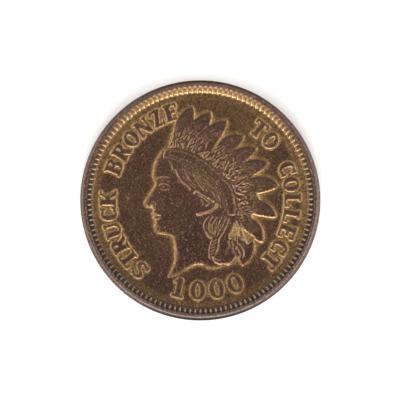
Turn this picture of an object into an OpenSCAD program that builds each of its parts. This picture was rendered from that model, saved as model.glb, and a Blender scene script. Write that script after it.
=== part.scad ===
// A struck bronze coin of the old small cent size, one solid piece of metal.
// Frame: millimetres, the coin lies flat with its portrait side up. The origin is the centre
// of the lower rim's plane, +Z comes out of the portrait side, +Y points to the portrait's crown.
// The two faces are in coin alignment: the back is upright once the coin is turned about X.

/* [Blank] */
// Diameter of the coin
coin_d = 19.05; // [18.8:0.05:19.3]
// Thickness across the two rims
rim_t = 1.54; // [1.4:0.02:1.7]
// Drop from each rim down to its field
field_drop = 0.22; // [0.2:0.01:0.26]
// Width of the smooth outer rim
rim_w = 0.47; // [0.4:0.01:0.55]
// Round on the outer corner of each rim
corner_r = 0.1; // [0.05:0.01:0.15]

/* [Denticles] */
// Number of denticles round each face
denticle_count = 135; // [120:1:150]
// Length of a denticle, inwards from the smooth rim
denticle_l = 0.52; // [0.4:0.01:0.6]
// Share of the pitch that a denticle fills
denticle_share = 0.56; // [0.4:0.02:0.7]
// Step from the rim down to the denticles
denticle_drop = 0.04; // [0.02:0.01:0.08]

/* [Legend and number] */
// Height of the capital letters
letter_h = 1.32; // [1.1:0.01:1.35]
// Radius of the line that the letters stand on
legend_r = 6.66; // [6.6:0.01:6.75]
// Angle from one letter to the next
letter_pitch = 10.1; // [9.6:0.1:10.4]
// Height of the digits under the bust
digit_h = 1.5; // [1.3:0.05:1.5]
// Angle from one digit to the next
digit_pitch = 12.1; // [11.6:0.1:12.5]
// Rise of letters and digits over the field
letter_rise = 0.1; // [0.06:0.01:0.14]

/* [Portrait] */
// Rise of the headdress feathers over the field
feather_rise = 0.1; // [0.08:0.01:0.12]
// Rise of the head and neck over the field
head_rise = 0.13; // [0.13:0.01:0.15]
// Rise of the hair over the field
hair_rise = 0.155; // [0.155:0.005:0.165]
// Rise of the headband over the field
band_rise = 0.175; // [0.17:0.005:0.18]

/* [Back] */
// Radius of the wreath's stems
wreath_r = 6.1; // [5.9:0.05:6.3]
// Leaf pairs on each branch
leaf_pairs = 7; // [6:1:9]
// Height of the numeral in the middle
numeral_h = 5.2; // [4.6:0.1:5.6]
// Rise of the wreath and numeral over the field
back_rise = 0.12; // [0.08:0.01:0.16]

/* [Hidden] */
$fn = 64;
coin_r = coin_d / 2;
rim_in_r = coin_r - rim_w;
denticle_in_r = rim_in_r - denticle_l;
front_field_z = rim_t - field_drop;
sink = 0.05; // how far each raised shape is rooted in the metal

// Roman capitals are drawn in units of their own height.
thick = 0.29;
thin = 0.13;
serif = 0.11;

legend_left = "STRUCK BRONZE";
legend_left_angle = 281.4;
legend_right = "TO COLLECT";
legend_right_angle = 85;
number = "1000";
number_angle = 4.4;

// Each feather: root, tip, width, and how far its spine bends aside before the tip.
feathers = [
    [[2.0, 1.2], [4.25, 1.85], 1.2, 0.1],
    [[2.3, 0.35], [4.75, -0.1], 1.3, 0.1],
    [[2.3, -0.6], [4.1, -1.65], 1.2, 0.1],
    [[-2.15, 3.6], [-0.6, 7.42], 1.36, 0.1],
    [[-1.0, 3.5], [0.86, 6.96], 1.36, 0.24],
    [[-0.3, 3.1], [2.12, 6.3], 1.34, 0.24],
    [[0.5, 2.6], [3.46, 5.1], 1.36, 0.26],
    [[1.2, 2.0], [4.48, 4.12], 1.22, 0.22],
    [[1.8, 1.4], [5.4, 2.95], 1.26, 0.2],
    [[2.2, 0.7], [6.2, 1.18], 1.34, 0.24],
    [[2.3, -0.15], [6.02, -1.3], 1.2, 0.28],
    [[2.3, -0.85], [4.95, -3.3], 1.24, 0.26],
    [[2.4, -1.3], [3.38, -5.15], 1.6, 0.5],
    [[2.0, -2.0], [2.2, -5.1], 2.1, 0.0],
];

// The head follows a drawing-book profile: brow, nose and chin split the face in thirds.
face_third = 2.08;
nose_base = [-3.58, -0.52];
profile = [
    [-0.02, 1.78], [0.09, 1.42], [0.1, 1.1], [-0.01, 0.9], [0.16, 0.6], [0.4, 0.24],
    [0.44, 0.1], [0.33, -0.01], [0.08, -0.05], [0.09, -0.17], [0.17, -0.27], [0.06, -0.35],
    [0.12, -0.44], [-0.01, -0.58], [0.06, -0.76], [-0.02, -0.95], [-0.2, -1.03], [-0.6, -1.1],
];
neck_and_bust = [
    [-2.12, -3.2], [-2.04, -4.6], [-2.2, -5.3], [-2.62, -6.1], [-1.9, -5.95], [-1.1, -5.5],
    [-0.45, -5.16], [0.1, -5.12], [0.6, -5.38], [1.2, -5.42], [1.8, -5.2],
];
back_of_head = [
    [2.0, -4.2], [2.3, -2.6], [2.9, -1.2], [2.9, 0], [2.5, 1.2], [1.6, 2.2], [0.6, 3.1],
    [-0.5, 3.75], [-1.7, 4.15], [-2.85, 4.1],
];
hair = [
    [-2.6, 3.2], [-1.7, 3.1], [-0.6, 2.6], [0.4, 1.9], [1.2, 1.1], [1.75, 0.1], [2.0, -1.1],
    [2.6, -1.5], [2.3, -2.6], [1.7, -3.4], [1.2, -4.6], [0.8, -4.7], [0.75, -3.4], [0.3, -2.4],
    [0.2, -1.7], [0.75, -1.1], [0.9, -0.3], [0.2, 0.5], [-0.6, 1.0], [-1.2, 1.9], [-2.0, 2.6],
];
band_outer = [
    [-2.8, 4.1], [-1.7, 4.15], [-0.5, 3.75], [0.6, 3.1], [1.6, 2.2], [2.5, 1.2], [2.9, 0],
    [2.92, -1.2],
];
band_inner = [
    [2.0, -1.15], [1.75, 0.1], [1.2, 1.1], [0.4, 1.9], [-0.6, 2.6], [-1.7, 3.1], [-2.98, 3.42],
];

// A closed smooth curve through points, with n steps from each point to the next.
function spline_point(a, b, c, d, t) =
    0.5 * (2 * b + (c - a) * t + (2 * a - 5 * b + 4 * c - d) * t * t
        + (3 * b - a - 3 * c + d) * t * t * t);
function closed_curve(p, n = 3) =
    let (m = len(p))
    [
        for (i = [0:m - 1], k = [0:n - 1])
            spline_point(p[(i + m - 1) % m], p[i], p[(i + 1) % m], p[(i + 2) % m], k / n)
    ];
function ellipse(rx, ry, from, to, n) =
    [for (i = [0:n]) let (a = from + (to - from) * i / n) [rx * cos(a), ry * sin(a)]];
function backwards(p) = [for (i = [len(p) - 1:-1:0]) p[i]];

// A feather's half width at share t of its length: even sides and a rounded point.
function feather_half(t, w) =
    w / 2 * (t < 0.6 ? 0.8 + t / 3 : pow(max(1 - pow((t - 0.6) / 0.4, 2), 0), 0.68));
function feather_outline(root, tip, w, bend, n = 8) =
    let (d = tip - root, side = [-d[1], d[0]] / norm(d))
    let (spine = function (t) root + d * t + side * bend * 6.75 * t * t * (1 - t))
    concat(
        [for (i = [0:n]) let (t = sin(90 * i / n)) spine(t) + side * feather_half(t, w)],
        [for (i = [n - 1:-1:0]) let (t = sin(90 * i / n)) spine(t) - side * feather_half(t, w)]
    );

// A leaf's outline along +Y, from its stalk at the origin.
function leaf_outline(l, w, n = 7) =
    let (half = function (t) w / 2 * sin(180 * pow(t, 0.8)))
    concat(
        [for (i = [0:n]) let (t = i / n) [half(t), l * t]],
        [for (i = [n - 1:-1:1]) let (t = i / n) [-half(t), l * t]]
    );

// Strokes of the Roman capitals.
module upright(x, low = 0, high = 1, w = thick) {
    translate([x - w / 2, low]) square([w, high - low]);
}
module foot(x, y, w = thick + 0.2) {
    translate([x - w / 2, y]) square([w, serif]);
}
module stem(x, w = thick) {
    upright(x, w = w);
    foot(x, 0, w + 0.2);
    foot(x, 1 - serif, w + 0.2);
}
module arm(from, to, y, tick = 0.22) {
    translate([from, y - thin / 2]) square([to - from, thin]);
    translate([to - thin, y - tick / 2]) square([thin, tick]);
}
module slant(from, to, w) {
    half = [w / 2, 0];
    polygon([from - half, from + half, to + half, to - half]);
}
module bowl(centre, rx, ry, from, to, n = 9, heavy = thick) {
    translate(centre)
        polygon(concat(
            ellipse(rx, ry, from, to, n),
            backwards(ellipse(rx - heavy, ry - thin, from, to, n))
        ));
}
module ring(centre, rx, ry, heavy = thick) {
    translate(centre) difference() {
        polygon(ellipse(rx, ry, 0, 340, 17));
        polygon(ellipse(rx - heavy, ry - thin, 0, 340, 17));
    }
}

// One letter or digit, centred on x = 0 and standing on y = 0, one unit high.
module glyph(c) {
    if (c == "S") {
        bowl([0, 0.74], 0.33, 0.26, 15, 262, heavy = 0.24);
        bowl([0, 0.27], 0.36, 0.27, -165, 98, heavy = 0.24);
        upright(0.28, 0.7, 0.98, 0.11);
        upright(-0.315, 0.02, 0.32, 0.11);
        slant([-0.12, 0.54], [0.1, 0.46], 0.3);
    }
    if (c == "T") {
        upright(0);
        foot(0, 0);
        upright(0, 1 - thin, 1, 0.86);
        upright(-0.37, 0.68, 1, 0.12);
        upright(0.37, 0.68, 1, 0.12);
    }
    if (c == "R") {
        stem(-0.24);
        bowl([0.02, 0.74], 0.34, 0.26, -90, 90);
        translate([-0.2, 1 - thin]) square([0.24, thin]);
        translate([-0.2, 0.48]) square([0.24, thin]);
        slant([0.3, 0], [0.02, 0.52], thick);
        foot(0.36, 0, 0.3);
    }
    if (c == "U") {
        upright(-0.24, 0.3);
        foot(-0.24, 1 - serif);
        upright(0.295, 0.3, w = thin);
        foot(0.295, 1 - serif, 0.3);
        bowl([0, 0.32], 0.36, 0.32, 180, 360, heavy = 0.2);
    }
    if (c == "C") {
        bowl([0.04, 0.5], 0.42, 0.5, 42, 318);
        upright(0.345, 0.64, 1, 0.11);
        upright(0.345, 0, 0.34, 0.11);
    }
    if (c == "K") {
        stem(-0.26);
        slant([-0.16, 0.38], [0.3, 1], thin);
        foot(0.28, 1 - serif, 0.3);
        slant([0.32, 0], [-0.02, 0.6], thick);
        foot(0.33, 0, 0.36);
    }
    if (c == "B") {
        stem(-0.24);
        bowl([0.02, 0.76], 0.31, 0.24, -90, 90, heavy = 0.24);
        bowl([0.02, 0.29], 0.37, 0.29, -90, 90);
        for (y = [0, 0.48, 1 - thin])
            translate([-0.2, y]) square([0.24, thin]);
    }
    if (c == "O") ring([0, 0.5], 0.44, 0.5);
    if (c == "N") {
        upright(-0.31, w = thin);
        foot(-0.31, 0, 0.3);
        foot(-0.36, 1 - serif, 0.24);
        upright(0.33, w = thin);
        foot(0.33, 1 - serif, 0.3);
        slant([-0.26, 1], [0.3, 0], 0.27);
    }
    if (c == "Z") {
        upright(0, 1 - thin, 1, 0.72);
        upright(0, 0, thin, 0.72);
        slant([-0.2, 0.02], [0.2, 0.98], 0.27);
        upright(-0.305, 0.7, 1, 0.11);
        upright(0.305, 0, 0.3, 0.11);
    }
    if (c == "E") {
        stem(-0.22);
        arm(-0.2, 0.36, 1 - thin / 2, 0.1);
        arm(-0.2, 0.22, 0.52);
        arm(-0.2, 0.38, thin / 2, 0.1);
        upright(0.305, 0.7, 1, 0.11);
        upright(0.325, 0, 0.32, 0.11);
    }
    if (c == "L") {
        stem(-0.2);
        arm(-0.1, 0.38, thin / 2, 0.1);
        upright(0.325, 0, 0.34, 0.11);
    }
    if (c == "1") {
        upright(0, 0, 1, 0.28);
        upright(0, 0, thin, 0.62);
        slant([-0.3, 0.74], [-0.04, 0.95], 0.16);
    }
    if (c == "0") ring([0, 0.5], 0.4, 0.5, 0.27);
}

// Letters along an arc, read clockwise with their tops outwards.
module legend(words, middle_angle) {
    for (i = [0:len(words) - 1])
        if (words[i] != " ")
            rotate(-middle_angle - (i - (len(words) - 1) / 2) * letter_pitch)
                translate([0, legend_r]) scale(letter_h) glyph(words[i]);
}
// Digits along the foot of the coin, with their tops inwards.
module number_row() {
    for (i = [0:len(number) - 1])
        rotate(number_angle + (i - (len(number) - 1) / 2) * digit_pitch)
            translate([0, -denticle_in_r + 0.62]) scale(digit_h) glyph(number[i]);
}

// The turned blank, with its flat rims, rounded corners and two sunk fields.
module blank() {
    corner = [for (a = [0:30:90]) corner_r * [cos(a), sin(a)]];
    low = [for (p = backwards(corner)) [coin_r - corner_r + p[0], corner_r - p[1]]];
    high = [for (p = corner) [coin_r - corner_r + p[0], rim_t - corner_r + p[1]]];
    rotate_extrude()
        polygon(concat(
            [[0, field_drop], [rim_in_r - 0.1, field_drop], [rim_in_r, 0]],
            low,
            high,
            [[rim_in_r, rim_t], [rim_in_r - 0.1, front_field_z], [0, front_field_z]]
        ));
}

// A ring of small teeth that point inwards from the smooth rim. Its gaps end inside the rim.
module denticle_ring() {
    pitch = 360 / denticle_count;
    tooth = pitch * denticle_share;
    back_r = rim_in_r + 0.01;
    corners = [[0, back_r], [0.12, denticle_in_r], [0.88, denticle_in_r], [1, back_r]];
    inner = [
        for (i = [0:denticle_count - 1], p = corners)
            let (a = i * pitch + p[0] * tooth) p[1] * [cos(a), sin(a)]
    ];
    difference() {
        circle(rim_in_r + 0.05);
        polygon(inner);
    }
}

module face_outline() {
    thirds = [for (p = profile) nose_base + face_third * [-p[0], p[1]]];
    polygon(closed_curve(concat(thirds, neck_and_bust, back_of_head)));
}
module headdress() {
    for (f = feathers)
        polygon(feather_outline(f[0], f[1], f[2], f[3]));
}

module raised(z, rise) {
    translate([0, 0, z - sink]) linear_extrude(rise + sink) children();
}

// Everything that stands on the portrait side's field.
module front_relief() {
    raised(front_field_z, field_drop - denticle_drop) denticle_ring();
    raised(front_field_z, letter_rise) {
        legend(legend_left, legend_left_angle);
        legend(legend_right, legend_right_angle);
        number_row();
    }
    raised(front_field_z, feather_rise) headdress();
    raised(front_field_z, head_rise) face_outline();
    raised(front_field_z, hair_rise) polygon(closed_curve(hair));
    raised(front_field_z, band_rise) polygon(concat(band_outer, band_inner));
}

// The back is drawn upright and turned over: a wreath tied with a bow, a star and a numeral.
module leaf(l, w) {
    polygon(leaf_outline(l, w));
}
module wreath_branch() {
    for (i = [0:leaf_pairs - 1]) {
        along = 24 + i * 134 / (leaf_pairs - 0.5);
        rotate(along) translate([0, -wreath_r]) {
            rotate(-132) leaf(1.8, 0.85);
            rotate(-54) leaf(1.95, 0.95);
        }
    }
    rotate(156) translate([0, -wreath_r]) rotate(-94) leaf(1.5, 0.8);
    difference() {
        polygon(concat([[0, 0]], ellipse(wreath_r + 0.12, wreath_r + 0.12, -86, 66, 30)));
        circle(wreath_r - 0.12);
    }
}
module bow_half() {
    rotate(24) translate([0.85, 0]) difference() {
        polygon(ellipse(0.85, 0.42, 0, 340, 17));
        polygon(ellipse(0.55, 0.2, 0, 340, 17));
    }
    polygon([[0, 0], [0.75, -1.05], [1.15, -0.8], [0.2, 0.1]]);
}
module bow() {
    bow_half();
    mirror([1, 0]) bow_half();
    circle(0.34, $fn = 16);
}
module star(r) {
    polygon([for (i = [0:9]) (i % 2 ? 0.42 : 1) * r * [sin(36 * i), cos(36 * i)]]);
}
module back_relief() {
    translate([0, 0, field_drop]) rotate([180, 0, 0]) {
        raised(0, field_drop - denticle_drop) denticle_ring();
        raised(0, back_rise) {
            wreath_branch();
            mirror([1, 0]) wreath_branch();
            translate([0, -wreath_r]) bow();
            translate([0, 6.0]) star(0.8);
            translate([0, -numeral_h / 2]) scale(numeral_h) glyph("1");
        }
    }
}

module coin() {
    color([0.42, 0.28, 0.17]) {
        blank();
        front_relief();
        back_relief();
    }
}

coin();
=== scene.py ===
import math

import bmesh
import bpy
import numpy as np
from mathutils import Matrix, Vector
from mathutils.bvhtree import BVHTree


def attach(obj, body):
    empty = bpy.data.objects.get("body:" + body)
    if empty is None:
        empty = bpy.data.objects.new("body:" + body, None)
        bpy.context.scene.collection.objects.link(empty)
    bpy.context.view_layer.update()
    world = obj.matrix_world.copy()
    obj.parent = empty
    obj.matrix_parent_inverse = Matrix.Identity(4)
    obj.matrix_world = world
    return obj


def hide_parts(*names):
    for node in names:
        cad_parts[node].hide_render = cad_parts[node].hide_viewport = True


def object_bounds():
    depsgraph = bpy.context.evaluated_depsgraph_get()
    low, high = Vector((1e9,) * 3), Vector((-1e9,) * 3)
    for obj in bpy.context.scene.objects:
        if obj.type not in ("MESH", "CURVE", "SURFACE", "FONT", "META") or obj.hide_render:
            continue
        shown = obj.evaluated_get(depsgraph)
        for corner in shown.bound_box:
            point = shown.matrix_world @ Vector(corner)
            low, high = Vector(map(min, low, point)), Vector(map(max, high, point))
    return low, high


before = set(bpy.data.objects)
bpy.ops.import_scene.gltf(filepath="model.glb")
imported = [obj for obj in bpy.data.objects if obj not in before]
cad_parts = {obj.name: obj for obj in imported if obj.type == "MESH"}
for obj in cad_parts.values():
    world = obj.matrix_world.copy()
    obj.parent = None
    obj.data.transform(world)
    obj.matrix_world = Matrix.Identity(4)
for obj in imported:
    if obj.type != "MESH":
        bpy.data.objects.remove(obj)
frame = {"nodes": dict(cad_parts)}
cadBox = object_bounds()
mm = 0.001
print("frame loaded:", ", ".join(frame["nodes"]))

blank = {
    "radius": cadBox[1].x / mm,
    "thickness": cadBox[1].z / mm,
    "fieldDrop": 0.22,       # from the rim down to the field
    "rimInner": 9.06,        # where the smooth rim starts
    "teethInner": 8.42,      # where the field ends and the teeth begin
    "teethFloor": 0.12,      # the gaps between the teeth, over the field
    "teethTop": 0.2,
    "teeth": 135,
    "columns": 8,            # columns of faces in each tooth and its gap
    "gridCells": 135,        # across a face, before the relief is refined
    "dish": 0.02,            # the field curves up this much towards the teeth
    "frontLimit": 0.003,     # cells are halved where the relief bends more than this, in mm
    "backLimit": 0.02,
}

# the relief is drawn as height maps over the coin's face, in mm
canvasStep = 0.025           # mm between two samples
canvasHalf = 8.8
ticks = np.arange(-canvasHalf, canvasHalf + canvasStep / 2, canvasStep)
canvasX, canvasY = np.meshgrid(ticks, ticks)
canvasR = np.hypot(canvasX, canvasY)
frequency = np.fft.fftfreq(len(ticks), canvasStep)


def soften(layer, spread):   # gaussian blur, spread in mm
    fade = np.exp(-2 * (math.pi * spread * frequency) ** 2)
    return np.fft.ifft2(np.fft.fft2(layer) * np.outer(fade, fade)).real


def ramp(value, low, high):  # smooth step from 0 to 1
    t = np.clip((value - low) / (high - low), 0, 1)
    return t * t * (3 - 2 * t)


def roundedPlate(mask, spread):  # 0 at the outline, 1 well inside
    return np.clip(2 * soften(mask, spread) - 1, 0, 1)


def sampleCanvas(layer, x, y):
    u = np.clip((np.asarray(x) + canvasHalf) / canvasStep, 0, len(ticks) - 1.001)
    v = np.clip((np.asarray(y) + canvasHalf) / canvasStep, 0, len(ticks) - 1.001)
    i, j = u.astype(int), v.astype(int)
    s, t = u - i, v - j
    low = layer[j, i] * (1 - s) + layer[j, i + 1] * s
    high = layer[j + 1, i] * (1 - s) + layer[j + 1, i + 1] * s
    return low * (1 - t) + high * t


def smoothPath(points, steps=8):  # Catmull-Rom through the points
    p = np.array(points, float)
    p = np.vstack([2 * p[0] - p[1], p, 2 * p[-1] - p[-2]])
    out = []
    for k in range(1, len(p) - 2):
        for t in np.linspace(0, 1, steps, endpoint=False):
            a, b, c, d = p[k - 1:k + 3]
            out.append(0.5 * (2 * b + (c - a) * t + (2 * a - 5 * b + 4 * c - d) * t * t
                              + (3 * b - a - 3 * c + d) * t ** 3))
    return np.array(out + [p[-2]])


def chisel(layer, points, width, height, ends=0.25):  # a rounded ridge, or a groove if height < 0
    path = smoothPath(points)
    low, high = path.min(0) - 3 * width, path.max(0) + 3 * width
    i0, j0 = np.maximum(((low + canvasHalf) / canvasStep).astype(int), 0)
    i1, j1 = ((high + canvasHalf) / canvasStep).astype(int) + 2
    x, y = canvasX[j0:j1, i0:i1], canvasY[j0:j1, i0:i1]
    nearest, along = np.full(x.shape, 1e9), np.zeros(x.shape)
    for k in range(len(path) - 1):
        d = path[k + 1] - path[k]
        t = np.clip(((x - path[k][0]) * d[0] + (y - path[k][1]) * d[1]) / (d @ d + 1e-12), 0, 1)
        gap = np.hypot(x - path[k][0] - t * d[0], y - path[k][1] - t * d[1])
        closer = gap < nearest
        nearest = np.where(closer, gap, nearest)
        along = np.where(closer, (k + t) / (len(path) - 1), along)
    fade = ramp(along, -0.001, ends) * ramp(1 - along, -0.001, ends) if ends else 1
    cut = height * fade * np.exp(-(nearest / width) ** 2)
    window = layer[j0:j1, i0:i1]
    window[:] = np.maximum(window, cut) if height > 0 else np.minimum(window, cut)


def mound(layer, x, y, rx, ry, height, turn=0.0):  # a soft swelling or hollow
    c, s = math.cos(math.radians(turn)), math.sin(math.radians(turn))
    dx, dy = canvasX - x, canvasY - y
    layer += height * np.exp(-((dx * c + dy * s) / rx) ** 2 - ((dy * c - dx * s) / ry) ** 2)


def wedge(points, blur=0.05):  # 1 inside a convex shape whose corners go round counter-clockwise
    depth = np.full(canvasX.shape, 1e9)
    for (x0, y0), (x1, y1) in zip(points, points[1:] + points[:1]):
        inwards = (x1 - x0) * (canvasY - y0) - (y1 - y0) * (canvasX - x0)
        depth = np.minimum(depth, inwards / math.hypot(x1 - x0, y1 - y0))
    return ramp(depth, -blur, blur)


def strandsBetween(layer, first, last, count, width, height, wander, seed):
    dice = np.random.default_rng(seed)
    a, b = smoothPath(first, 4), smoothPath(last, 4)
    share = np.linspace(0, 1, 9)
    a = np.stack([np.interp(share, np.linspace(0, 1, len(a)), a[:, k]) for k in (0, 1)], 1)
    b = np.stack([np.interp(share, np.linspace(0, 1, len(b)), b[:, k]) for k in (0, 1)], 1)
    for k in range(count):
        mix = (k + 0.5) / count
        line = a * (1 - mix) + b * mix + dice.normal(0, wander, (1, 2))
        start, stop = dice.integers(0, 3), dice.integers(7, 10)
        chisel(layer, line[start:stop], width * dice.uniform(0.8, 1.2),
               height * dice.uniform(0.5, 1.1), 0.3)


cadCoin = frame["nodes"]["coin"]
cadTree = BVHTree.FromPolygons([v.co / mm for v in cadCoin.data.vertices],
                               [tuple(p.vertices) for p in cadCoin.data.polygons])


def plateHeights(side):      # height of the CAD plates over the field, looking at one side
    heights = np.zeros(canvasX.shape)
    top = blank["thickness"] + 1
    field = blank["fieldDrop"] if side == "back" else blank["thickness"] - blank["fieldDrop"]
    start, down = (-1.0, 1.0) if side == "back" else (top, -1.0)
    flip = -1 if side == "back" else 1
    for j, i in zip(*np.nonzero(canvasR < blank["teethInner"] - 0.1)):
        spot = Vector((canvasX[j, i], flip * canvasY[j, i], start))
        hit = cadTree.ray_cast(spot, Vector((0, 0, down)))[0]
        if hit is not None:
            heights[j, i] = (hit.z - field) * flip
    return np.clip(heights, 0, 0.3)


frontPlates = plateHeights("front")
backPlates = plateHeights("back")
plates = {                   # mm over the field; a CAD plate higher than this belongs to that part
    "letters": 0.05,
    "head": 0.115,
    "hair": 0.142,
    "band": 0.168,
    "wreath": 0.06,
}
print("CAD plates read")

headdress = {
    "feathers": [            # root, tip, width, how far the spine bends aside before the tip
        ((2.0, 1.2), (4.25, 1.85), 1.2, 0.1),     # three short inner plumes, under the others
        ((2.3, 0.35), (4.75, -0.1), 1.3, 0.1),
        ((2.3, -0.6), (4.1, -1.65), 1.2, 0.1),
        ((-2.15, 3.6), (-0.6, 7.42), 1.36, 0.1),
        ((-1.0, 3.5), (0.86, 6.96), 1.36, 0.24),
        ((-0.3, 3.1), (2.12, 6.3), 1.34, 0.24),
        ((0.5, 2.6), (3.46, 5.1), 1.36, 0.26),
        ((1.2, 2.0), (4.48, 4.12), 1.22, 0.22),
        ((1.8, 1.4), (5.4, 2.95), 1.26, 0.2),
        ((2.2, 0.7), (6.2, 1.18), 1.34, 0.24),
        ((2.3, -0.15), (6.02, -1.3), 1.2, 0.28),
        ((2.3, -0.85), (4.95, -3.3), 1.24, 0.26),
        ((2.4, -1.3), (3.38, -5.15), 1.6, 0.5),
        ((2.0, -2.0), (2.2, -5.1), 2.1, 0.0),
    ],
    "rise": 0.08,
    "crown": 0.02,           # how much a feather's middle stands over its edges
    "overlap": 0.022,        # how much one edge lies over the next feather
    "strokes": 38,           # short engraved strokes on the inner part of each feather
    "strokeHeight": 0.1,
}


def bowed(t):                # 0 at both ends and 1 at two thirds of the way
    return 6.75 * t ** 2 * (1 - t)


def featherRelief():
    f = headdress
    dice = np.random.default_rng(11)
    layer, cover, tips = [np.zeros(canvasX.shape) for _ in range(3)]
    for root, tip, width, bend in f["feathers"]:
        root, tip = np.array(root), np.array(tip)
        length = np.linalg.norm(tip - root)
        ahead = (tip - root) / length
        side = np.array((-ahead[1], ahead[0]))
        t = ((canvasX - root[0]) * ahead[0] + (canvasY - root[1]) * ahead[1]) / length
        aside = (canvasY - root[1]) * ahead[0] - (canvasX - root[0]) * ahead[1]
        inT = np.clip(t, 0, 1)
        aside = aside - bend * bowed(inT)
        tipShare = np.clip((inT - 0.6) / 0.4, 0, 1)
        half = width / 2 * np.where(inT < 0.6, 0.8 + inT / 3, (1 - tipShare ** 2) ** 0.68)
        mask = ramp(half - np.abs(aside), -0.06, 0.07) * ((t > 0) & (t < 1.02))
        across = np.clip(aside / np.maximum(half, 0.05), -1, 1)
        tipPart = ramp(inT, 0.34, 0.6) * (length > 2.6)  # only the tips lie free of each other
        height = (f["rise"] + f["crown"] * (1 - across ** 2) * (0.4 + 0.6 * tipPart)
                  + f["overlap"] * across * tipPart)
        strokes = np.zeros(canvasX.shape)
        for n in range(f["strokes"]):
            at = dice.uniform(0.08, 0.64 if length > 2.6 else 0.95)
            spine = root + ahead * length * at + side * bend * bowed(at)
            start = spine + side * dice.uniform(-0.5, 0.5) * width
            lean = dice.normal(0, 0.5)
            reach = dice.uniform(0.3, 0.85)
            stop = start + (ahead * math.cos(lean) + side * math.sin(lean)) * reach
            middle = (start + stop) / 2 + side * dice.normal(0, 0.06)
            chisel(strokes, [start, middle, stop], dice.uniform(0.042, 0.068),
                   f["strokeHeight"] * dice.uniform(0.4, 1.0) * (1.1 - at), 0.35)
        height = height + strokes - 0.012 * (1 - tipPart) + 0.035 * (1 - ramp(inT, 0.05, 0.4))
        layer = layer * (1 - mask) + height * mask
        tips = tips * (1 - mask) + tipPart * mask
        cover = np.maximum(cover, mask)
    return layer, cover, tips


featherLayer, featherCover, featherTips = featherRelief()

head = {                     # on drawing-book proportions
    "noseBase": (-3.58, -0.52),
    "third": 2.08,           # hairline to brow, brow to nose base, nose base to chin
    "rise": 0.07,
    "swell": 0.055,
    "hairRise": 0.016,
    "bandRise": 0.02,
    "tallest": 0.2,          # nothing stands higher than this over the field
    "cordTurns": 6,
}
locks = {                    # middle line, width, height of each ridge of hair
    "temple": [
        ([(-2.05, 2.6), (-1.8, 2.0), (-1.45, 1.5), (-0.95, 1.05), (-0.75, 0.7)], 0.075, 0.06),
        ([(-2.3, 2.9), (-2.2, 2.45), (-1.95, 2.1)], 0.05, 0.035),
        ([(-1.3, 2.6), (-1.1, 2.05), (-0.7, 1.5), (-0.3, 1.1)], 0.05, 0.035),
        ([(-0.62, 2.3), (-0.4, 1.8), (-0.05, 1.2), (0.4, 0.72)], 0.05, 0.06),
        ([(-0.42, 2.15), (-0.1, 1.6), (0.25, 1.1), (0.62, 0.68)], 0.045, 0.045),
        ([(0.35, 1.6), (0.8, 1.0), (1.1, 0.4), (1.35, -0.2)], 0.045, 0.035),
        ([(0.9, 1.3), (1.3, 0.7), (1.55, 0.05), (1.6, -0.7)], 0.045, 0.03)],
    "roll": [                # hair swept back over the ear, and the ear's own edge
        ([(-0.6, 0.4), (-0.3, 0.74), (0.05, 0.5), (0.45, 0.28), (0.85, 0.06), (1.24, -0.22)],
         0.1, 0.07),
        ([(1.18, -0.15), (1.3, -0.42), (1.0, -0.7), (0.5, -0.92), (-0.1, -1.1), (-0.4, -1.08)],
         0.15, 0.085),
        ([(-0.35, 0.45), (0.1, 0.3), (0.5, 0.02), (0.7, -0.25), (0.35, -0.5)], 0.06, 0.05),
        ([(0.0, 0.1), (0.2, -0.1), (0.15, -0.4)], 0.055, 0.035)],
    "nape": [
        ([(0.75, -1.22), (0.45, -1.55), (0.25, -1.97), (0.34, -2.35), (0.5, -2.6)], 0.055, 0.05),
        ([(0.4, -2.4), (0.6, -2.8), (0.98, -3.04)], 0.1, 0.075),
        ([(1.05, -1.2), (0.75, -1.7), (0.66, -2.2), (0.86, -2.7)], 0.045, 0.05),
        ([(1.4, -1.25), (1.05, -1.75), (0.92, -2.25), (1.05, -2.8)], 0.045, 0.05),
        ([(1.75, -1.2), (1.5, -1.8), (1.2, -2.35), (1.15, -2.85)], 0.045, 0.055),
        ([(2.05, -1.2), (1.85, -1.85), (1.55, -2.4), (1.3, -2.9)], 0.05, 0.055),
        ([(2.3, -1.25), (2.15, -1.85), (1.85, -2.5), (1.5, -3.1), (1.42, -3.75), (1.1, -4.5)],
         0.06, 0.065),
        ([(0.98, -3.0), (0.8, -3.5), (0.7, -4.1), (0.72, -4.7)], 0.055, 0.05)],
    "ends": [                # knot over the foot of the bust
        ([(1.0, -4.4), (1.06, -4.7), (1.3, -4.98)], 0.11, 0.09),
        ([(1.1, -4.6), (1.35, -4.72), (1.7, -4.68)], 0.07, 0.08),
        ([(1.2, -4.86), (1.5, -5.0), (1.85, -4.98)], 0.1, 0.09)],
}
bandBorders = [              # a fine groove along each side of the headband
    [(-2.5, 3.98), (-1.7, 4.0), (-0.55, 3.62), (0.5, 2.99), (1.48, 2.1), (2.36, 1.13),
     (2.76, 0.0), (2.78, -1.1)],
    [(-2.6, 3.5), (-1.65, 3.24), (-0.55, 2.74), (0.48, 2.02), (1.3, 1.19), (1.88, 0.12),
     (2.12, -1.1)],
]


def facePoint(forward, up):  # from the base of the nose, in thirds of the face
    return (head["noseBase"][0] - head["third"] * forward,
            head["noseBase"][1] + head["third"] * up)


def faceChisel(layer, points, width, height, ends=0.25):
    chisel(layer, [facePoint(*p) for p in points], width, height, ends)


def faceMound(layer, forward, up, rx, ry, height, turn=0.0):
    x, y = facePoint(forward, up)
    mound(layer, x, y, rx * head["third"], ry * head["third"], height, turn)


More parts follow.
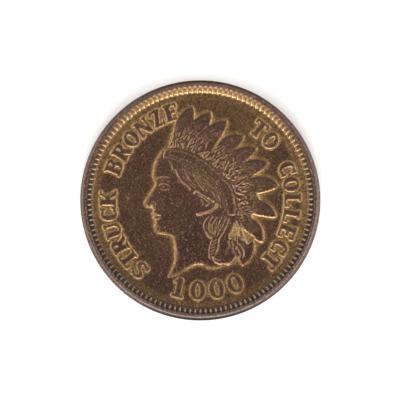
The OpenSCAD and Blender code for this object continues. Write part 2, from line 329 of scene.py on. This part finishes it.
def faceFeatures():
    soft = np.zeros(canvasX.shape)
    faceMound(soft, -0.2, 0.82, 0.26, 0.15, -0.035)         # eye socket
    faceMound(soft, -0.62, 0.3, 0.42, 0.3, 0.026, -20)      # cheek
    faceMound(soft, -0.35, 1.45, 0.5, 0.4, 0.015)           # forehead
    faceMound(soft, 0.02, 0.42, 0.1, 0.3, -0.025, 20)       # side of the nose
    faceMound(soft, -0.02, -0.58, 0.2, 0.08, -0.018)        # hollow under the lips
    faceMound(soft, -0.12, -0.78, 0.22, 0.17, 0.026)        # chin
    faceMound(soft, -0.45, -0.32, 0.16, 0.22, -0.016)       # hollow of the cheek
    faceMound(soft, -1.0, 1.15, 0.3, 0.4, -0.014)           # temple
    faceMound(soft, -0.3, 0.77, 0.12, 0.08, 0.045)          # eyeball
    faceMound(soft, 0.12, 0.09, 0.1, 0.09, 0.03)            # wing of the nose
    ridges, grooves = np.zeros(canvasX.shape), np.zeros(canvasX.shape)
    faceChisel(ridges, [(0.02, 1.02), (-0.18, 1.13), (-0.44, 1.14), (-0.7, 1.03)], 0.1, 0.034)
    faceChisel(ridges, [(-0.11, 0.75), (-0.24, 0.88), (-0.42, 0.87), (-0.6, 0.73)], 0.055, 0.042)
    faceChisel(ridges, [(-0.13, 0.73), (-0.28, 0.65), (-0.44, 0.66), (-0.56, 0.72)], 0.045, 0.03)
    faceChisel(ridges, [(0.15, -0.24), (0.0, -0.25), (-0.14, -0.3), (-0.26, -0.36)], 0.08, 0.034)
    faceChisel(ridges, [(0.1, -0.45), (-0.04, -0.47), (-0.16, -0.44), (-0.24, -0.39)], 0.08, 0.034)
    faceChisel(ridges, [(0.2, 0.17), (0.08, 0.2), (-0.01, 0.13), (0.0, 0.02)], 0.05, 0.026)
    faceChisel(grooves, [(-0.08, 0.82), (-0.24, 0.97), (-0.44, 0.96), (-0.62, 0.82)], 0.045, -0.026)
    mouth = [(0.12, -0.35), (-0.04, -0.35), (-0.16, -0.37), (-0.32, -0.38)]
    faceChisel(grooves, mouth, 0.045, -0.04)
    faceChisel(grooves, [(0.0, 0.24), (-0.07, 0.1), (-0.02, -0.03)], 0.05, -0.024)
    faceChisel(grooves, [(0.3, 0.0), (0.18, 0.01), (0.1, -0.03)], 0.045, -0.028)
    faceChisel(grooves, [(-0.08, 0.06), (-0.22, -0.08), (-0.3, -0.26)], 0.08, -0.012)
    faceMound(grooves, -0.27, 0.77, 0.026, 0.03, -0.045)    # pupil
    jawLine = [(-0.25, -1.02), (-0.7, -0.97), (-1.1, -0.75), (-1.4, -0.4), (-1.55, 0.0)]
    faceChisel(grooves, jawLine, 0.2, -0.034)
    return soft + ridges + grooves


def headRelief():
    shoulderToCrown = (frontPlates > plates["head"]).astype(float)
    edge, body = roundedPlate(shoulderToCrown, 0.13), roundedPlate(shoulderToCrown, 0.6)
    layer = head["rise"] * edge ** 0.8 + head["swell"] * body
    layer += faceFeatures() * roundedPlate(shoulderToCrown, 0.15)
    mound(layer, -1.0, -3.9, 0.45, 1.5, 0.02, -8)           # muscle of the neck
    mound(layer, 0.0, -3.6, 0.35, 1.2, -0.02, 12)           # hollow behind it
    mound(layer, 0.1, -0.1, 0.5, 0.6, -0.035, 30)           # the ear lies deep under the hair
    hair = (frontPlates > plates["hair"]).astype(float)
    layer += head["hairRise"] * roundedPlate(hair, 0.09)
    strands = np.zeros(canvasX.shape)
    for place in locks.values():
        for line, width, height in place:
            chisel(strands, line, width, height, 0.12)
    underBand = [(-2.4, 3.2), (-1.2, 2.95), (0.0, 2.3), (1.0, 1.25), (1.7, 0.0), (1.9, -1.0)]
    overFace = [(-2.1, 2.7), (-1.3, 1.9), (-0.5, 1.05), (0.3, 0.6), (1.0, 0.1), (1.3, -0.6)]
    strandsBetween(strands, underBand, overFace, 17, 0.042, 0.028, 0.04, 3)
    napeFront = [(0.6, -1.5), (0.5, -2.0), (0.8, -2.6), (1.1, -3.0)]
    napeBack = [(2.3, -1.4), (2.1, -2.0), (1.8, -2.6), (1.4, -3.2)]
    strandsBetween(strands, napeFront, napeBack, 16, 0.04, 0.045, 0.05, 5)
    turns = head["cordTurns"]
    for k in range(turns):   # cord wound round the hanging lock
        y = -3.2 - 0.26 * k
        x = 1.12 - 0.25 * (k / (turns - 1)) ** 0.8
        turn = [(x - 0.2, y - 0.1), (x, y), (x + 0.24 - 0.015 * k, y + 0.12)]
        chisel(strands, turn, 0.05, 0.04, 0.2)
    layer += strands * roundedPlate(shoulderToCrown, 0.06)
    band = (frontPlates > plates["band"]).astype(float)
    bandTop = ramp(soften(band, 0.045), 0.1, 0.9)
    bandTop = bandTop * ramp(roundedPlate(shoulderToCrown, 0.12), 0.0, 0.9)
    layer = layer * (1 - bandTop) + (head["rise"] + head["swell"] + head["bandRise"]) * bandTop
    border = np.zeros(canvasX.shape)
    for line in bandBorders:
        chisel(border, line, 0.06, -0.03, 0)
    layer = np.minimum(layer + border, head["tallest"])
    return layer, np.maximum(shoulderToCrown, band)


headLayer, headCover = headRelief()
print("portrait modelled")

lettering = {
    "rise": 0.085,
    "spread": 0.045,
    "inner": 6.1,            # all letters and digits lie outside this radius
}
ties = [                     # middle line, width, height of the soft ends that hang behind the neck
    ([(2.75, -1.3), (2.64, -1.97), (2.34, -2.6), (1.89, -3.16)], 0.075, 0.07),
    ([(2.86, -1.5), (2.98, -2.1), (3.2, -2.8), (3.6, -3.4)], 0.075, 0.07),
    ([(3.05, -1.4), (3.3, -2.0), (3.75, -2.55)], 0.055, 0.045),
    ([(2.1, -2.95), (2.6, -3.05), (3.1, -3.25)], 0.05, 0.045),
    ([(2.7, -3.2), (3.2, -3.6), (3.45, -4.1), (3.38, -4.7)], 0.055, 0.05),
    ([(2.45, -3.3), (2.9, -3.75), (3.15, -4.25), (3.08, -4.75)], 0.05, 0.045),
    ([(2.2, -3.4), (2.6, -3.9), (2.82, -4.4), (2.75, -4.8)], 0.05, 0.035),
    ([(1.8, -3.2), (1.5, -3.65), (1.3, -4.2), (1.2, -4.8)], 0.06, 0.055),
    ([(2.78, -4.4), (2.66, -4.72), (2.3, -4.98), (1.9, -5.1)], 0.1, 0.085),
]
tieGaps = [                  # corners of the two places where the field shows between the ends
    [(2.74, -1.45), (2.12, -2.92), (3.06, -2.88)],
    [(3.2, -2.1), (3.72, -3.6), (4.35, -2.95)],
]
foldLayer = np.zeros(canvasX.shape)
for line, width, height in ties:
    chisel(foldLayer, line, width, height, 0.2)


def frontRelief():
    apart = (featherCover < 0.02) & (headCover < 0.5) & (canvasR > lettering["inner"])
    letterMask = ((frontPlates > plates["letters"]) & apart).astype(float)
    relief = lettering["rise"] * ramp(soften(letterMask, lettering["spread"]), 0.06, 0.9)
    gaps = np.maximum(*[wedge(corners) for corners in tieGaps])
    relief = np.maximum(relief, featherLayer) * (1 - gaps) + 0.02 * gaps + foldLayer * featherCover
    headEdge = ramp(soften(headCover, 0.045), 0.08, 0.85)
    relief = relief * (1 - headEdge) + np.maximum(headLayer, 0.035 + 0.05 * featherCover) * headEdge
    handled = soften(np.random.default_rng(4).normal(0, 1, relief.shape), 0.07)
    relief += (0.0022 + 0.002 * ramp(relief, 0.05, 0.1)) * handled / handled.std()
    return np.clip(relief, 0, head["tallest"]), letterMask


wreath = {                   # laid out as in the CAD
    "radius": 6.1,           # of the stems
    "pairs": 7,              # of leaves on each branch
    "start": 24,             # degrees from the foot of the coin to the first pair
    "span": 134,             # degrees over which the pairs are spread
    "leaves": ((-132, 1.8), (-54, 1.95)),  # turn from the stem, in degrees, and length
}


def backRelief():
    w = wreath
    mask = (backPlates > plates["wreath"]).astype(float)
    relief = lettering["rise"] * ramp(soften(mask, 0.04), 0.12, 0.8)
    relief += 0.04 * roundedPlate(mask, 0.25)
    veins = np.zeros(canvasX.shape)
    for i in range(w["pairs"]):  # a midrib and three pairs of side veins on each paired leaf
        for turn, length in w["leaves"]:
            for mirror in (1, -1):
                stem = math.radians(w["start"] + i * w["span"] / (w["pairs"] - 0.5))
                foot = np.array((math.sin(stem), -math.cos(stem))) * w["radius"]
                a = stem + math.radians(turn)
                out = np.array((-math.sin(a), math.cos(a)))
                side = np.array((out[1], -out[0]))
                flip = np.array((mirror, 1))
                chisel(veins, [foot * flip, (foot + out * length * 0.92) * flip], 0.04, -0.03, 0.1)
                for share in (0.3, 0.5, 0.7):
                    for s in (-1, 1):
                        at = foot + out * length * share
                        to = at + out * 0.2 + side * s * 0.24
                        chisel(veins, [at * flip, to * flip], 0.03, -0.015, 0.1)
    return relief + veins * mask, mask


frontHeights, letterMask = frontRelief()
backHeights, wreathMask = backRelief()

patina = {
    "letterReach": 0.13,     # mm that the brassy tone spreads round the letters
    "figureReach": 0.23,     # and from the foot of the portrait
    "edgeReach": 0.07,       # and how far an edge is rubbed
    "ringWear": [0.55, 0.38, 0.6, 0.45, 1.0, 0.8, 0.6, 0.8, 0.55],  # brassy ring, from -X round
    "frontRing": 0.85,
    "backRing": 0.7,
    "washes": [              # thin brassy film: place, half sizes, strength, turn
        (0.3, 1.4, 1.9, 1.6, 0.07, -35),          # hair
        (4.2, 5.4, 1.8, 0.9, 0.4, -42),           # upper field, right
        (0.4, 7.6, 3.0, 0.6, 0.25, 0),            # upper field
        (3.3, 2.4, 2.2, 2.4, 0.13, 0)],           # headdress
    "mostDirt": 2.0,
}


def bell(value, middle, spread):  # 1 at the middle, fading on both sides
    return np.exp(-((value - middle) / spread) ** 2)


def goldMask(letters, figure, foot, ringGold):
    nearLetters = soften(letters, patina["letterReach"])
    nearFigure = soften(figure, patina["figureReach"])
    corners = ramp(soften(figure, 0.4), 0.46, 0.62)
    amongLetters = ramp(soften(letters, 0.35), 0.22, 0.3)
    gold = np.maximum(ramp(nearLetters, 0.08, 0.16), ramp(nearFigure, 0.03, 0.25))
    gold = np.maximum(gold, amongLetters)
    gold = np.maximum(gold, corners) * foot
    around = np.degrees(np.arctan2(canvasY, canvasX))
    ringGold = ringGold * np.interp(around, np.linspace(-180, 180, 9), patina["ringWear"])
    gold = np.maximum(gold, ringGold * ramp(canvasR, 7.8, 8.15) * foot)
    # painted highlight: fine bright lines at the edge of the brassy tone round the letters, along
    # the foot of the portrait and in its corners
    lip = bell(nearLetters, 0.13, 0.04) * foot * (1 - amongLetters) * (nearFigure < 0.2)
    lip = np.maximum(lip, bell(soften(figure, 0.05), 0.2, 0.12) * foot * 0.3)
    lip = np.maximum(lip, bell(soften(letters, 0.05), 0.18, 0.12) * foot * 0.75)
    lip = np.maximum(lip, corners * foot * 0.6)
    return gold, lip


def tarnishAndLightMasks(relief, letters, ringGold, quiet, washes):
    foot = 1 - ramp(relief, 0.03, 0.075)
    lower = ramp(-canvasY, 3.5, 6.5)  # duller towards the foot of the coin
    onLetter = ramp(soften(letters, 0.04), 0.05, 0.3)
    figure = ramp(relief, 0.03, 0.07) * (1 - onLetter)
    gold, lip = goldMask(letters, figure, foot, ringGold)
    lip = lip * (1 - 0.45 * lower)
    curve = (relief - soften(relief, patina["edgeReach"])) / 0.014
    # edges and the highest places are rubbed bare
    crest = np.maximum(np.clip(curve, 0, 1), ramp(relief, 0.17, 0.198))
    crest = crest * (1 - 0.85 * onLetter) * (1 - 0.8 * quiet)
    crest = np.maximum(crest, 0.08 * figure * ramp(canvasY, -3, 0))
    groove = np.clip(-curve, 0, 1) * (1 - foot)
    gold = np.maximum(gold, 0.3 * groove * quiet)
    film = np.zeros(canvasX.shape)
    for place in washes:
        mound(film, *place)
    gold = np.maximum(gold, film) * (1 - 0.2 * lower)
    hollow = np.clip(-curve, 0, 1) * 1.2 * (1 - gold)
    hollow = np.maximum(hollow, ramp(soften(letters, 0.03), 0.4, 0.9) * 0.6)
    inside = soften(figure, 0.1)  # painted shade: a dark line inside the upper edge of the feather tips, on the sides that face the crown, away from the key light
    slopeY, slopeX = np.gradient(inside, canvasStep)
    upwards = ramp(-slopeY / (np.hypot(slopeX, slopeY) + 0.001), -0.2, 0.7)
    # the painted shade inside the tips joins the dirt mask here
    hollow = np.maximum(hollow, 1.7 * bell(inside, 0.84, 0.13) * upwards * quiet)
    return [np.clip(m, 0, patina["mostDirt"]) for m in (gold, crest, hollow, lip)]


smoothTips = soften(featherTips, 0.05) * (1 - ramp(foldLayer, 0.01, 0.03))
frontMasks = tarnishAndLightMasks(frontHeights, letterMask, patina["frontRing"], smoothTips,
                          patina["washes"])
backMasks = tarnishAndLightMasks(backHeights, wreathMask, patina["backRing"], 0.0, [])
print("patina laid out")


def toDisc(a, b):            # square of side 2 to disc of radius 1, even round its edge
    if abs(a) > abs(b):
        return a * math.cos(math.pi / 4 * b / a), a * math.sin(math.pi / 4 * b / a)
    if b:
        return b * math.sin(math.pi / 4 * a / b), b * math.cos(math.pi / 4 * a / b)
    return 0.0, 0.0


def addFace(bm, relief, limit, back):  # halves its cells round the border and where relief bends
    r = blank["teethInner"]
    cells = blank["gridCells"]
    disc = bmesh.new()
    bmesh.ops.create_grid(disc, x_segments=cells, y_segments=cells, size=1.0)
    bend = np.abs(soften(relief, 0.03) - soften(relief, 0.1))
    bend = soften(bend, 0.04)
    disc.edges.index_update()
    edges = set()
    for face in disc.faces:
        c = face.calc_center_median()
        x, y = toDisc(c.x, c.y)
        atBorder = max(abs(c.x), abs(c.y)) > 1 - 1.2 / cells
        if atBorder or sampleCanvas(bend, x * r, y * r) > limit:
            edges.update(face.edges)
    edges = sorted(edges, key=lambda edge: edge.index)  # the same order each run
    bmesh.ops.subdivide_edges(disc, edges=edges, cuts=1, use_grid_fill=True)
    flat = np.array([toDisc(v.co.x, v.co.y) for v in disc.verts]) * r
    lift = sampleCanvas(relief, flat[:, 0], flat[:, 1])
    dish = blank["dish"] * ramp(np.hypot(flat[:, 0], flat[:, 1]), 7.8, r)
    lift = np.maximum(lift, dish)
    for v, (x, y), h in zip(disc.verts, flat, lift):
        z = blank["fieldDrop"] - h if back else blank["thickness"] - blank["fieldDrop"] + h
        v.co = (x, -y if back else y, z)
    if back:
        bmesh.ops.reverse_faces(disc, faces=disc.faces)
    holder = bpy.data.meshes.new("disc")
    disc.to_mesh(holder)
    disc.free()
    bm.from_mesh(holder)
    bpy.data.meshes.remove(holder)


def addRim(bm):              # teeth, smooth rim and edge, as one turned profile
    b = blank
    drop = b["fieldDrop"]
    floor = b["teethFloor"]
    # radius and height over the field, from the field out to the edge
    inner = [(b["teethInner"], b["dish"]), (8.53, 0.03), (8.6, floor * 0.5),
             (8.68, floor * 0.85), (8.82, floor), (8.98, floor), (b["rimInner"], drop)]
    corner = [(9.2, drop), (9.25, drop - 0.006), (9.3, drop - 0.018), (9.37, drop - 0.045),
              (9.43, drop - 0.085), (9.48, drop - 0.15), (b["radius"], drop - 0.24),
              (b["radius"], drop - 0.34)]
    points = [(r, b["thickness"] - drop + h) for r, h in inner + corner]
    points += [(r, drop - h) for r, h in corner[::-2] + inner[::-1]]  # fewer rows at the back
    verts = [bm.verts.new((r, 0, z)) for r, z in points]
    wire = [bm.edges.new(pair) for pair in zip(verts, verts[1:])]
    columns = b["teeth"] * b["columns"]
    bmesh.ops.spin(bm, geom=verts + wire, cent=(0, 0, 0), axis=(0, 0, 1), angle=2 * math.pi,
                   steps=columns, use_merge=True)
    narrowTooth = [0, 0.3, 1, 0.65, 0.05, 0, 0, 0]  # height of each column, 0 in the gap
    wideTooth = [0, 0.6, 1, 0.8, 0.2, 0, 0, 0]      # close to the rim
    for v in bm.verts:
        r = math.hypot(v.co.x, v.co.y)
        column = round(math.atan2(v.co.y, v.co.x) / (2 * math.pi / columns))
        tooth = (wideTooth if r > 8.9 else narrowTooth)[column % b["columns"]]
        if 8.55 < r < 9.0:
            upper = v.co.z > b["thickness"] / 2
            h = v.co.z - b["thickness"] + drop if upper else drop - v.co.z
            h += (b["teethTop"] - h) * tooth * (0.8 if r < 8.65 else 1)
            v.co.z = b["thickness"] - drop + h if upper else drop - h


rimWearAndLight = {                  # how strong each tone, painted highlight and painted shade is at the teeth and on the rim
    "gold": (0.6, 0.1, 0.6),         # inside r 8.75, outside it, and more outside it at the crown as a painted highlight
    "crest": (0.6, 0.3),             # painted highlight on the teeth and rim, both towards the crown
    "pits": (1.2, 0.9),              # dirt and painted shade between the teeth, and how much less at the crown, on the lit side
    "ringShade": 2.2,                 # painted shade where the field meets the teeth, at the foot of the coin
    "cornerShade": (2.2, 0.06, 0.94, 0.35),  # painted shade on the outer corner: strength; all round, foot and crown of the coin
    "lip": (0.12, 0.9),              # painted highlight at the foot of the teeth, all round and at the crown
    "toothLip": (0.58, 0.42, 0.2),   # painted highlight on the teeth: all round, towards the crown, towards the right
    "rim": (0.14, 0.26),             # worn to bare metal, all round and at the foot
    "highlightLine": (0.25, 1.1, 0.35),   # painted highlight, a bright line at r 9.25 where the edge catches the light: all round, less at the crown, more right
    "bareTooth": 0.55,
    "bareCorner": 0.27,
    "most": 2.4,
}


def rimMasks(x, y, z):
    w = rimWearAndLight
    radius = np.hypot(x, y)
    upper = z > blank["thickness"] / 2
    ring = ramp(radius, blank["teethInner"] - 0.02, blank["teethInner"] + 0.02)
    field = np.where(upper, blank["thickness"] - blank["fieldDrop"], blank["fieldDrop"])
    tooth = ramp(np.abs(z - field), 0.125, 0.155) * (radius < 8.95) * ring
    across = np.maximum(radius, 1)
    crown, rightward = y / across, x / across
    up, down = np.maximum(crown, 0), np.maximum(-crown, 0)
    cornerBand = ramp(radius, 9.27, 9.36)      # on the outer corner, little on the edge
    cornerBand = cornerBand * (1 - 0.85 * ramp(np.minimum(z, blank["thickness"] - z), 0.26, 0.32))
    onRim = ramp(radius, 9.0, 9.1) * (1 - cornerBand)
    atFoot, between, atCrown = w["gold"]
    # painted highlight: more brassy tone at the crown, lighter towards the crown and darker towards
    # the foot
    gold = np.where(radius < 8.75, atFoot, between + atCrown * up)
    gold = gold * (1 - ramp(radius, 8.9, 9.05)) * (0.65 + 0.35 * crown) * ring
    band = ramp(radius, 8.75, 8.85) * (1 - ramp(radius, 8.98, 9.05))
    # painted highlight on the teeth and rim at the crown
    crest = ring * (w["crest"][0] * band + w["crest"][1] * onRim) * up ** 2
    pits = ring * (1 - tooth) * ((radius > 8.65) & (radius < 9.0))
    # dirt and painted shade between the teeth, lighter at the crown
    hollow = pits * (w["pits"][0] - w["pits"][1] * up)
    # painted shade at the step up to the teeth, on the foot side, away from the key light
    hollow = hollow + w["ringShade"] * bell(radius, 8.5, 0.06) * down
    # painted shade: a dark outline on the outer corner, strongest at the foot of the coin
    strength, around, foot, top = w["cornerShade"]
    hollow = hollow + strength * cornerBand * (around + foot * down ** 4 + top * up)
    # painted highlight: bright lines at the foot of the teeth and on the teeth, towards the crown
    # and the right
    lip = w["lip"][0] * bell(radius, 8.5, 0.06)
    lip = lip + w["lip"][1] * bell(radius, 8.63, 0.08) * up ** 2
    around, top, side = w["toothLip"]
    lip = lip + tooth * np.clip(around + top * crown + side * rightward, 0, 1)
    # painted highlight: a bright line near the edge, stronger at the foot and the right
    around, top, side = w["highlightLine"]
    edgeHighlight = np.clip(around - top * crown + side * rightward, 0, 1)
    bareAndHighlight = (w["rim"][0] + w["rim"][1] * down) * onRim
    bareAndHighlight = bareAndHighlight + 0.9 * edgeHighlight * bell(radius, 9.25, 0.03)
    bareAndHighlight = bareAndHighlight + w["bareTooth"] * tooth * np.clip(0.3 - 0.7 * crown, 0, 1)
    bareAndHighlight = bareAndHighlight + w["bareCorner"] * cornerBand * (1 - np.abs(crown) ** 3)
    return upper, ring, {"gold": gold, "crest": crest, "hollow": hollow, "lip": lip, "bareAndHighlight": bareAndHighlight}


def paintCoin(mesh, x, y, z):  # the tones go to the material as attributes of the points
    upper, ring, masks = rimMasks(x, y, z)
    for k, (name, value) in enumerate(masks.items()):
        if name != "bareAndHighlight":
            front = sampleCanvas(frontMasks[k], x, y)
            rear = sampleCanvas(backMasks[k], x, -y)
            value = value + np.where(upper, front, rear) * (1 - ring)
        layer = mesh.attributes.new(name, "FLOAT", "POINT")
        layer.data.foreach_set("value", np.clip(value, 0, rimWearAndLight["most"]).astype(np.float32))


def buildCoin():
    bm = bmesh.new()
    addRim(bm)
    addFace(bm, frontHeights, blank["frontLimit"], False)
    addFace(bm, backHeights, blank["backLimit"], True)
    bmesh.ops.remove_doubles(bm, verts=bm.verts, dist=0.004)
    bmesh.ops.recalc_face_normals(bm, faces=bm.faces)
    for face in bm.faces:
        face.smooth = True
    mesh = bpy.data.meshes.new("coin_struck")
    place = np.array([v.co for v in bm.verts])
    loose = sum(1 for e in bm.edges if not e.is_manifold)
    bmesh.ops.scale(bm, vec=(mm, mm, mm), verts=bm.verts)
    bm.to_mesh(mesh)
    print("coin mesh:", len(mesh.vertices), "points,",
          sum(len(p.vertices) - 2 for p in mesh.polygons), "triangles, open edges", loose)
    bm.free()
    paintCoin(mesh, *place.T)
    coin = bpy.data.objects.new("coin_struck", mesh)
    bpy.context.scene.collection.objects.link(coin)
    return coin


def hexColor(code):          # sRGB hex to linear
    parts = [int(code[i:i + 2], 16) / 255 for i in (1, 3, 5)]
    return [c / 12.92 if c <= 0.04045 else ((c + 0.055) / 1.055) ** 2.4 for c in parts] + [1.0]


def addNode(tree, kind, settings=(), links=()):
    node = tree.nodes.new(kind)
    for name, value in dict(settings).items():
        if isinstance(name, str) and hasattr(node, name):
            setattr(node, name, value)
        else:
            node.inputs[name].default_value = value
    for name, source in dict(links).items():
        tree.links.new(source, node.inputs[name])
    return node


def setRamp(node, stops):
    node.color_ramp.elements.remove(node.color_ramp.elements[1])
    for k, (place, color) in enumerate(stops):
        stop = node.color_ramp.elements[0] if k == 0 else node.color_ramp.elements.new(place)
        stop.position, stop.color = place, color


bronze = {
    "field": "#4d352b",      # chocolate brown patina
    "fieldDark": "#3b2823",
    "gold": "#957448",       # thin brassy tone that stays where fingers don't reach
    "goldDeep": "#705535",
    "crest": "#bb8a70",      # bare rubbed bronze, and on the rim a painted highlight towards the crown
    "crestGold": "#a88a5e",  # the same under a little brassy tone
    "hollow": "#1e120c",     # dirt, and painted shade
    "lip": "#bb9a63",        # painted highlight: fine bright line where the brassy tone ends, and along the teeth and rim
    "bareAndHighlight": "#a8978d",       # the rim, worn to a greyer metal, and a painted highlight line near the edge
    "speck": "#b49a84",      # dust and tiny nicks
    "roughness": (0.24, 0.4),
    "dirtRoughness": 0.5,    # added to that
    "dirtGloss": 0.2,
    "blotch": 2.2,           # mm, patches of lighter and darker patina
    "grain": 0.16,           # mm, the fine unevenness of the patina
    "grainDepth": 0.016,     # mm
    "dust": 0.11,            # mm
    "dustShare": 0.5,
    "scratch": 0.12,         # mm wide and 7 times as long
    "scratchShare": 0.36,
    "scratchTurns": (0.5, -0.75),    # two directions, in radians
}


def patinatedBronze():
    # Struck 95 % copper bronze, handled and dried to a brown patina: satin, dull brown on the
    # flats, brassy beside the relief and pinkish where edges are rubbed bare.
    # the masks below also carry painted shade and painted highlights
    b = bronze
    material = bpy.data.materials.new("patinated_bronze")
    material.use_nodes = True
    tree = material.node_tree
    shader = tree.nodes["Principled BSDF"]
    shader.inputs["Specular IOR Level"].default_value = b["dirtGloss"]
    place = addNode(tree, "ShaderNodeTexCoord").outputs["Object"]
    blotch = addNode(tree, "ShaderNodeTexNoise",
                     {"Scale": 1 / (b["blotch"] * mm), "Detail": 5.0, "Roughness": 0.6},
                     {"Vector": place}).outputs["Fac"]
    grain = addNode(tree, "ShaderNodeTexNoise",
                    {"Scale": 1 / (b["grain"] * mm), "Detail": 3.0, "Roughness": 0.7},
                    {"Vector": place}).outputs["Fac"]
    patchy = addNode(tree, "ShaderNodeMix", {0: 0.5}, {2: blotch, 3: grain}).outputs[0]
    brown = addNode(tree, "ShaderNodeValToRGB", links={"Fac": patchy})
    setRamp(brown, [(0.4, hexColor(b["fieldDark"])), (0.6, hexColor(b["field"]))])
    rubbed = addNode(tree, "ShaderNodeValToRGB", links={"Fac": blotch})
    setRamp(rubbed, [(0.42, hexColor(b["crest"])), (0.6, hexColor(b["crestGold"]))])
    brassy = addNode(tree, "ShaderNodeValToRGB", links={"Fac": grain})
    setRamp(brassy, [(0.35, hexColor(b["goldDeep"])), (0.65, hexColor(b["gold"]))])
    uneven = addNode(tree, "ShaderNodeMapRange",
                     {"From Min": 0.3, "From Max": 0.7, "To Min": 0.45, "To Max": 1.0},
                     {"Value": grain}).outputs["Result"]
    color = brown.outputs["Color"]
    tones = [("gold", brassy.outputs["Color"], 1.0), ("crest", rubbed.outputs["Color"], 1.0),
             ("hollow", hexColor(b["hollow"]), 0.9), ("lip", hexColor(b["lip"]), 0.9),
             ("bareAndHighlight", hexColor(b["bareAndHighlight"]), 1.0)]
    for name, tone, gain in tones:
        mask = addNode(tree, "ShaderNodeAttribute", {"attribute_name": name}).outputs["Fac"]
        share = addNode(tree, "ShaderNodeMath", {"operation": "MULTIPLY"},
                        {0: mask, 1: uneven}).outputs[0]
        share = addNode(tree, "ShaderNodeMath", {"operation": "MULTIPLY", 1: gain},
                        {0: share}).outputs[0]
        if name == "hollow":  # dirt in the recesses is no metal, and it is dull; so is the painted shade that shares its mask
            metal = addNode(tree, "ShaderNodeMapRange", {"To Min": 1.0, "To Max": 0.0},
                            {"Value": share}).outputs["Result"]
            tree.links.new(metal, shader.inputs["Metallic"])
            dull = addNode(tree, "ShaderNodeMapRange", {"To Max": b["dirtRoughness"]},
                           {"Value": share}).outputs["Result"]
        blend = addNode(tree, "ShaderNodeMix", {"data_type": "RGBA"}, {0: share, 6: color})
        if isinstance(tone, list):
            blend.inputs[7].default_value = tone
        else:
            tree.links.new(tone, blend.inputs[7])
        color = blend.outputs[2]
    # dust and hairline scratches, coarser than the real ones, which are too fine to show
    dust = addNode(tree, "ShaderNodeTexNoise", {"Scale": 1 / (b["dust"] * mm), "Detail": 1.0},
                   {"Vector": place}).outputs["Fac"]
    flecks = addNode(tree, "ShaderNodeMapRange",
                     {"From Min": 0.62, "From Max": 0.74, "To Max": b["dustShare"]},
                     {"Value": dust}).outputs["Result"]
    for turn in b["scratchTurns"]:
        stretch = addNode(tree, "ShaderNodeMapping",
                          {"vector_type": "TEXTURE", "Rotation": (0, 0, turn),
                           "Scale": (1.0, 7.0, 1.0)}, {"Vector": place}).outputs["Vector"]
        lines = addNode(tree, "ShaderNodeTexNoise",
                        {"Scale": 1 / (b["scratch"] * mm), "Detail": 0.0},
                        {"Vector": stretch}).outputs["Fac"]
        faint = addNode(tree, "ShaderNodeMapRange",
                        {"From Min": 0.74, "From Max": 0.85, "To Max": b["scratchShare"]},
                        {"Value": lines}).outputs["Result"]
        flecks = addNode(tree, "ShaderNodeMath", {"operation": "MAXIMUM"},
                         {0: flecks, 1: faint}).outputs[0]
    flecks = addNode(tree, "ShaderNodeMath", {"operation": "MULTIPLY"},
                     {0: flecks, 1: metal}).outputs[0]
    blend = addNode(tree, "ShaderNodeMix", {"data_type": "RGBA", 7: hexColor(b["speck"])},
                    {0: flecks, 6: color})
    tree.links.new(blend.outputs[2], shader.inputs["Base Color"])
    smooth, coarse = b["roughness"]
    rough = addNode(tree, "ShaderNodeMapRange",
                    {"From Min": 0.3, "From Max": 0.7, "To Min": smooth, "To Max": coarse},
                    {"Value": grain}).outputs["Result"]
    rough = addNode(tree, "ShaderNodeMath", {"operation": "ADD"}, {0: rough, 1: dull}).outputs[0]
    tree.links.new(rough, shader.inputs["Roughness"])
    bump = addNode(tree, "ShaderNodeBump",
                   {"Strength": 0.6, "Distance": b["grainDepth"] * mm}, {"Height": grain})
    tree.links.new(bump.outputs["Normal"], shader.inputs["Normal"])
    return material


coin = buildCoin()
coin.data.materials.append(patinatedBronze())
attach(coin, "root")
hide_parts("coin")
print("coin finished")

studio = {
    "floor": "#f4f3f1",
    "sky": 0.8,
    "key": (-0.05, -0.75, 0.32, 12.0, 0.8),  # place in m, power in W, size in m
    "fills": [(0.62, 0.1, 0.5, 3.6, 0.8), (-0.62, 0.1, 0.5, 3.6, 0.8)],
    "view": (-0.024, 0.032, 31.7),          # what the camera looks at, and its width there, in mm
    "cameraHeight": 0.45,                    # m above the floor
    "sensor": 36.0,
}


def addFloor():
    bm = bmesh.new()
    bmesh.ops.create_grid(bm, x_segments=1, y_segments=1, size=3.0)
    mesh = bpy.data.meshes.new("floor")
    bm.to_mesh(mesh)
    bm.free()
    floor = bpy.data.objects.new("floor", mesh)
    bpy.context.scene.collection.objects.link(floor)
    paper = bpy.data.materials.new("matt_paper")  # plain pale sheet
    paper.use_nodes = True
    shader = paper.node_tree.nodes["Principled BSDF"]
    shader.inputs["Base Color"].default_value = hexColor(studio["floor"])
    shader.inputs["Roughness"].default_value = 0.9
    mesh.materials.append(paper)


def addLight(name, x, y, z, power, size):
    data = bpy.data.lights.new(name, "AREA")
    data.energy, data.size = power, size
    light = bpy.data.objects.new(name, data)
    light.location = (x, y, z)
    light.rotation_euler = (-Vector((x, y, z))).to_track_quat("-Z", "Y").to_euler()
    bpy.context.scene.collection.objects.link(light)


def addCamera():
    x, y, width = studio["view"]
    height = studio["cameraHeight"]
    data = bpy.data.cameras.new("camera")
    data.sensor_width = studio["sensor"]
    data.lens = data.sensor_width * (height - blank["thickness"] * mm) / (width * mm)
    data.clip_start, data.clip_end = 0.01, 10
    camera = bpy.data.objects.new("camera", data)
    camera.location = (x * mm, y * mm, height)
    bpy.context.scene.collection.objects.link(camera)
    bpy.context.scene.camera = camera


addFloor()
addLight("key", *studio["key"])
for k, fill in enumerate(studio["fills"]):
    addLight(f"fill_{k}", *fill)
world = bpy.data.worlds.new("studio")
world.use_nodes = True
world.node_tree.nodes["Background"].inputs["Color"].default_value = (1, 1, 1, 1)
world.node_tree.nodes["Background"].inputs["Strength"].default_value = studio["sky"]
bpy.context.scene.world = world
bpy.context.scene.view_settings.view_transform = "Standard"
addCamera()
print("studio ready")
